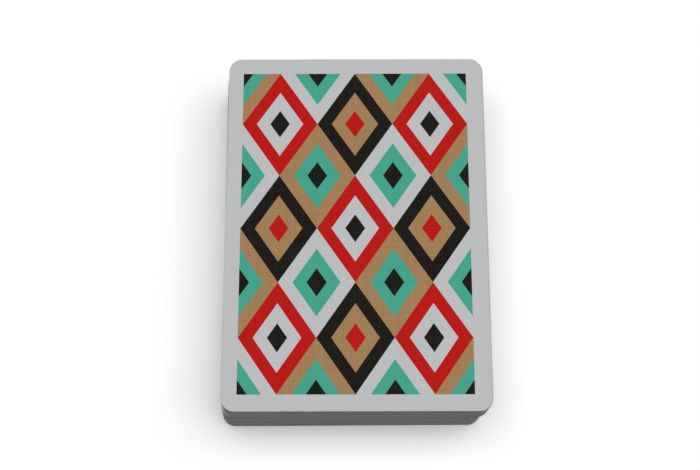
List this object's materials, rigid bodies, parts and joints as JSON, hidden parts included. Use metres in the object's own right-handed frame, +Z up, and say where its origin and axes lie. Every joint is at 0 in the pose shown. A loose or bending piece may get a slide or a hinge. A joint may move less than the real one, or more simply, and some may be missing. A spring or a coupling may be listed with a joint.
{
  "type": "playing card deck",
  "caption": "Pack of poker-size playing cards with rounded corners and a printed lozenge back, squared by hand and lying face down; every card slides out of the pile.",
  "frame": {"origin": "middle of the lowest card's printed face, where the pack lies on the table", "axes": "+X to the right along the cards' short edges, +Y to the back along their long edges, +Z up through the pile"},
  "size_m": [0.0654, 0.0899, 0.0189],
  "materials": {
    "card_stock": "satin"
  },
  "bodies": {
    "red_joker": {"red_joker": "card_stock"},
    "black_joker": {"black_joker": "card_stock"},
    "ace_of_spades": {"ace_of_spades": "card_stock"},
    "two_of_spades": {"two_of_spades": "card_stock"},
    "three_of_spades": {"three_of_spades": "card_stock"},
    "four_of_spades": {"four_of_spades": "card_stock"},
    "five_of_spades": {"five_of_spades": "card_stock"},
    "six_of_spades": {"six_of_spades": "card_stock"},
    "seven_of_spades": {"seven_of_spades": "card_stock"},
    "eight_of_spades": {"eight_of_spades": "card_stock"},
    "nine_of_spades": {"nine_of_spades": "card_stock"},
    "ten_of_spades": {"ten_of_spades": "card_stock"},
    "jack_of_spades": {"jack_of_spades": "card_stock"},
    "queen_of_spades": {"queen_of_spades": "card_stock"},
    "king_of_spades": {"king_of_spades": "card_stock"},
    "ace_of_diamonds": {"ace_of_diamonds": "card_stock"},
    "two_of_diamonds": {"two_of_diamonds": "card_stock"},
    "three_of_diamonds": {"three_of_diamonds": "card_stock"},
    "four_of_diamonds": {"four_of_diamonds": "card_stock"},
    "five_of_diamonds": {"five_of_diamonds": "card_stock"},
    "six_of_diamonds": {"six_of_diamonds": "card_stock"},
    "seven_of_diamonds": {"seven_of_diamonds": "card_stock"},
    "eight_of_diamonds": {"eight_of_diamonds": "card_stock"},
    "nine_of_diamonds": {"nine_of_diamonds": "card_stock"},
    "ten_of_diamonds": {"ten_of_diamonds": "card_stock"},
    "jack_of_diamonds": {"jack_of_diamonds": "card_stock"},
    "queen_of_diamonds": {"queen_of_diamonds": "card_stock"},
    "king_of_diamonds": {"king_of_diamonds": "card_stock"},
    "king_of_clubs": {"king_of_clubs": "card_stock"},
    "queen_of_clubs": {"queen_of_clubs": "card_stock"},
    "jack_of_clubs": {"jack_of_clubs": "card_stock"},
    "ten_of_clubs": {"ten_of_clubs": "card_stock"},
    "nine_of_clubs": {"nine_of_clubs": "card_stock"},
    "eight_of_clubs": {"eight_of_clubs": "card_stock"},
    "seven_of_clubs": {"seven_of_clubs": "card_stock"},
    "six_of_clubs": {"six_of_clubs": "card_stock"},
    "five_of_clubs": {"five_of_clubs": "card_stock"},
    "four_of_clubs": {"four_of_clubs": "card_stock"},
    "three_of_clubs": {"three_of_clubs": "card_stock"},
    "two_of_clubs": {"two_of_clubs": "card_stock"},
    "ace_of_clubs": {"ace_of_clubs": "card_stock"},
    "king_of_hearts": {"king_of_hearts": "card_stock"},
    "queen_of_hearts": {"queen_of_hearts": "card_stock"},
    "jack_of_hearts": {"jack_of_hearts": "card_stock"},
    "ten_of_hearts": {"ten_of_hearts": "card_stock"},
    "nine_of_hearts": {"nine_of_hearts": "card_stock"},
    "eight_of_hearts": {"eight_of_hearts": "card_stock"},
    "seven_of_hearts": {"seven_of_hearts": "card_stock"},
    "six_of_hearts": {"six_of_hearts": "card_stock"},
    "five_of_hearts": {"five_of_hearts": "card_stock"},
    "four_of_hearts": {"four_of_hearts": "card_stock"},
    "three_of_hearts": {"three_of_hearts": "card_stock"},
    "two_of_hearts": {"two_of_hearts": "card_stock"},
    "ace_of_hearts": {"ace_of_hearts": "card_stock"}
  },
  "joints": [
    {"name": "black_joker_slide", "type": "slide", "parent": "red_joker", "child": "black_joker", "axis": [1, 0, 0], "range_m": [-0.06, 0.06]},
    {"name": "ace_of_spades_slide", "type": "slide", "parent": "red_joker", "child": "ace_of_spades", "axis": [1, 0, 0], "range_m": [-0.06, 0.06]},
    {"name": "two_of_spades_slide", "type": "slide", "parent": "red_joker", "child": "two_of_spades", "axis": [1, 0, 0], "range_m": [-0.06, 0.06]},
    {"name": "three_of_spades_slide", "type": "slide", "parent": "red_joker", "child": "three_of_spades", "axis": [1, 0, 0], "range_m": [-0.06, 0.06]},
    {"name": "four_of_spades_slide", "type": "slide", "parent": "red_joker", "child": "four_of_spades", "axis": [1, 0, 0], "range_m": [-0.06, 0.06]},
    {"name": "five_of_spades_slide", "type": "slide", "parent": "red_joker", "child": "five_of_spades", "axis": [1, 0, 0], "range_m": [-0.06, 0.06]},
    {"name": "six_of_spades_slide", "type": "slide", "parent": "red_joker", "child": "six_of_spades", "axis": [1, 0, 0], "range_m": [-0.06, 0.06]},
    {"name": "seven_of_spades_slide", "type": "slide", "parent": "red_joker", "child": "seven_of_spades", "axis": [1, 0, 0], "range_m": [-0.06, 0.06]},
    {"name": "eight_of_spades_slide", "type": "slide", "parent": "red_joker", "child": "eight_of_spades", "axis": [1, 0, 0], "range_m": [-0.06, 0.06]},
    {"name": "nine_of_spades_slide", "type": "slide", "parent": "red_joker", "child": "nine_of_spades", "axis": [1, 0, 0], "range_m": [-0.06, 0.06]},
    {"name": "ten_of_spades_slide", "type": "slide", "parent": "red_joker", "child": "ten_of_spades", "axis": [1, 0, 0], "range_m": [-0.06, 0.06]},
    {"name": "jack_of_spades_slide", "type": "slide", "parent": "red_joker", "child": "jack_of_spades", "axis": [1, 0, 0], "range_m": [-0.06, 0.06]},
    {"name": "queen_of_spades_slide", "type": "slide", "parent": "red_joker", "child": "queen_of_spades", "axis": [1, 0, 0], "range_m": [-0.06, 0.06]},
    {"name": "king_of_spades_slide", "type": "slide", "parent": "red_joker", "child": "king_of_spades", "axis": [1, 0, 0], "range_m": [-0.06, 0.06]},
    {"name": "ace_of_diamonds_slide", "type": "slide", "parent": "red_joker", "child": "ace_of_diamonds", "axis": [1, 0, 0], "range_m": [-0.06, 0.06]},
    {"name": "two_of_diamonds_slide", "type": "slide", "parent": "red_joker", "child": "two_of_diamonds", "axis": [1, 0, 0], "range_m": [-0.06, 0.06]},
    {"name": "three_of_diamonds_slide", "type": "slide", "parent": "red_joker", "child": "three_of_diamonds", "axis": [1, 0, 0], "range_m": [-0.06, 0.06]},
    {"name": "four_of_diamonds_slide", "type": "slide", "parent": "red_joker", "child": "four_of_diamonds", "axis": [1, 0, 0], "range_m": [-0.06, 0.06]},
    {"name": "five_of_diamonds_slide", "type": "slide", "parent": "red_joker", "child": "five_of_diamonds", "axis": [1, 0, 0], "range_m": [-0.06, 0.06]},
    {"name": "six_of_diamonds_slide", "type": "slide", "parent": "red_joker", "child": "six_of_diamonds", "axis": [1, 0, 0], "range_m": [-0.06, 0.06]},
    {"name": "seven_of_diamonds_slide", "type": "slide", "parent": "red_joker", "child": "seven_of_diamonds", "axis": [1, 0, 0], "range_m": [-0.06, 0.06]},
    {"name": "eight_of_diamonds_slide", "type": "slide", "parent": "red_joker", "child": "eight_of_diamonds", "axis": [1, 0, 0], "range_m": [-0.06, 0.06]},
    {"name": "nine_of_diamonds_slide", "type": "slide", "parent": "red_joker", "child": "nine_of_diamonds", "axis": [1, 0, 0], "range_m": [-0.06, 0.06]},
    {"name": "ten_of_diamonds_slide", "type": "slide", "parent": "red_joker", "child": "ten_of_diamonds", "axis": [1, 0, 0], "range_m": [-0.06, 0.06]},
    {"name": "jack_of_diamonds_slide", "type": "slide", "parent": "red_joker", "child": "jack_of_diamonds", "axis": [1, 0, 0], "range_m": [-0.06, 0.06]},
    {"name": "queen_of_diamonds_slide", "type": "slide", "parent": "red_joker", "child": "queen_of_diamonds", "axis": [1, 0, 0], "range_m": [-0.06, 0.06]},
    {"name": "king_of_diamonds_slide", "type": "slide", "parent": "red_joker", "child": "king_of_diamonds", "axis": [1, 0, 0], "range_m": [-0.06, 0.06]},
    {"name": "king_of_clubs_slide", "type": "slide", "parent": "red_joker", "child": "king_of_clubs", "axis": [1, 0, 0], "range_m": [-0.06, 0.06]},
    {"name": "queen_of_clubs_slide", "type": "slide", "parent": "red_joker", "child": "queen_of_clubs", "axis": [1, 0, 0], "range_m": [-0.06, 0.06]},
    {"name": "jack_of_clubs_slide", "type": "slide", "parent": "red_joker", "child": "jack_of_clubs", "axis": [1, 0, 0], "range_m": [-0.06, 0.06]},
    {"name": "ten_of_clubs_slide", "type": "slide", "parent": "red_joker", "child": "ten_of_clubs", "axis": [1, 0, 0], "range_m": [-0.06, 0.06]},
    {"name": "nine_of_clubs_slide", "type": "slide", "parent": "red_joker", "child": "nine_of_clubs", "axis": [1, 0, 0], "range_m": [-0.06, 0.06]},
    {"name": "eight_of_clubs_slide", "type": "slide", "parent": "red_joker", "child": "eight_of_clubs", "axis": [1, 0, 0], "range_m": [-0.06, 0.06]},
    {"name": "seven_of_clubs_slide", "type": "slide", "parent": "red_joker", "child": "seven_of_clubs", "axis": [1, 0, 0], "range_m": [-0.06, 0.06]},
    {"name": "six_of_clubs_slide", "type": "slide", "parent": "red_joker", "child": "six_of_clubs", "axis": [1, 0, 0], "range_m": [-0.06, 0.06]},
    {"name": "five_of_clubs_slide", "type": "slide", "parent": "red_joker", "child": "five_of_clubs", "axis": [1, 0, 0], "range_m": [-0.06, 0.06]},
    {"name": "four_of_clubs_slide", "type": "slide", "parent": "red_joker", "child": "four_of_clubs", "axis": [1, 0, 0], "range_m": [-0.06, 0.06]},
    {"name": "three_of_clubs_slide", "type": "slide", "parent": "red_joker", "child": "three_of_clubs", "axis": [1, 0, 0], "range_m": [-0.06, 0.06]},
    {"name": "two_of_clubs_slide", "type": "slide", "parent": "red_joker", "child": "two_of_clubs", "axis": [1, 0, 0], "range_m": [-0.06, 0.06]},
    {"name": "ace_of_clubs_slide", "type": "slide", "parent": "red_joker", "child": "ace_of_clubs", "axis": [1, 0, 0], "range_m": [-0.06, 0.06]},
    {"name": "king_of_hearts_slide", "type": "slide", "parent": "red_joker", "child": "king_of_hearts", "axis": [1, 0, 0], "range_m": [-0.06, 0.06]},
    {"name": "queen_of_hearts_slide", "type": "slide", "parent": "red_joker", "child": "queen_of_hearts", "axis": [1, 0, 0], "range_m": [-0.06, 0.06]},
    {"name": "jack_of_hearts_slide", "type": "slide", "parent": "red_joker", "child": "jack_of_hearts", "axis": [1, 0, 0], "range_m": [-0.06, 0.06]},
    {"name": "ten_of_hearts_slide", "type": "slide", "parent": "red_joker", "child": "ten_of_hearts", "axis": [1, 0, 0], "range_m": [-0.06, 0.06]},
    {"name": "nine_of_hearts_slide", "type": "slide", "parent": "red_joker", "child": "nine_of_hearts", "axis": [1, 0, 0], "range_m": [-0.06, 0.06]},
    {"name": "eight_of_hearts_slide", "type": "slide", "parent": "red_joker", "child": "eight_of_hearts", "axis": [1, 0, 0], "range_m": [-0.06, 0.06]},
    {"name": "seven_of_hearts_slide", "type": "slide", "parent": "red_joker", "child": "seven_of_hearts", "axis": [1, 0, 0], "range_m": [-0.06, 0.06]},
    {"name": "six_of_hearts_slide", "type": "slide", "parent": "red_joker", "child": "six_of_hearts", "axis": [1, 0, 0], "range_m": [-0.06, 0.06]},
    {"name": "five_of_hearts_slide", "type": "slide", "parent": "red_joker", "child": "five_of_hearts", "axis": [1, 0, 0], "range_m": [-0.06, 0.06]},
    {"name": "four_of_hearts_slide", "type": "slide", "parent": "red_joker", "child": "four_of_hearts", "axis": [1, 0, 0], "range_m": [-0.06, 0.06]},
    {"name": "three_of_hearts_slide", "type": "slide", "parent": "red_joker", "child": "three_of_hearts", "axis": [1, 0, 0], "range_m": [-0.06, 0.06]},
    {"name": "two_of_hearts_slide", "type": "slide", "parent": "red_joker", "child": "two_of_hearts", "axis": [1, 0, 0], "range_m": [-0.06, 0.06]},
    {"name": "ace_of_hearts_slide", "type": "slide", "parent": "red_joker", "child": "ace_of_hearts", "axis": [1, 0, 0], "range_m": [-0.06, 0.06]}
  ]
}
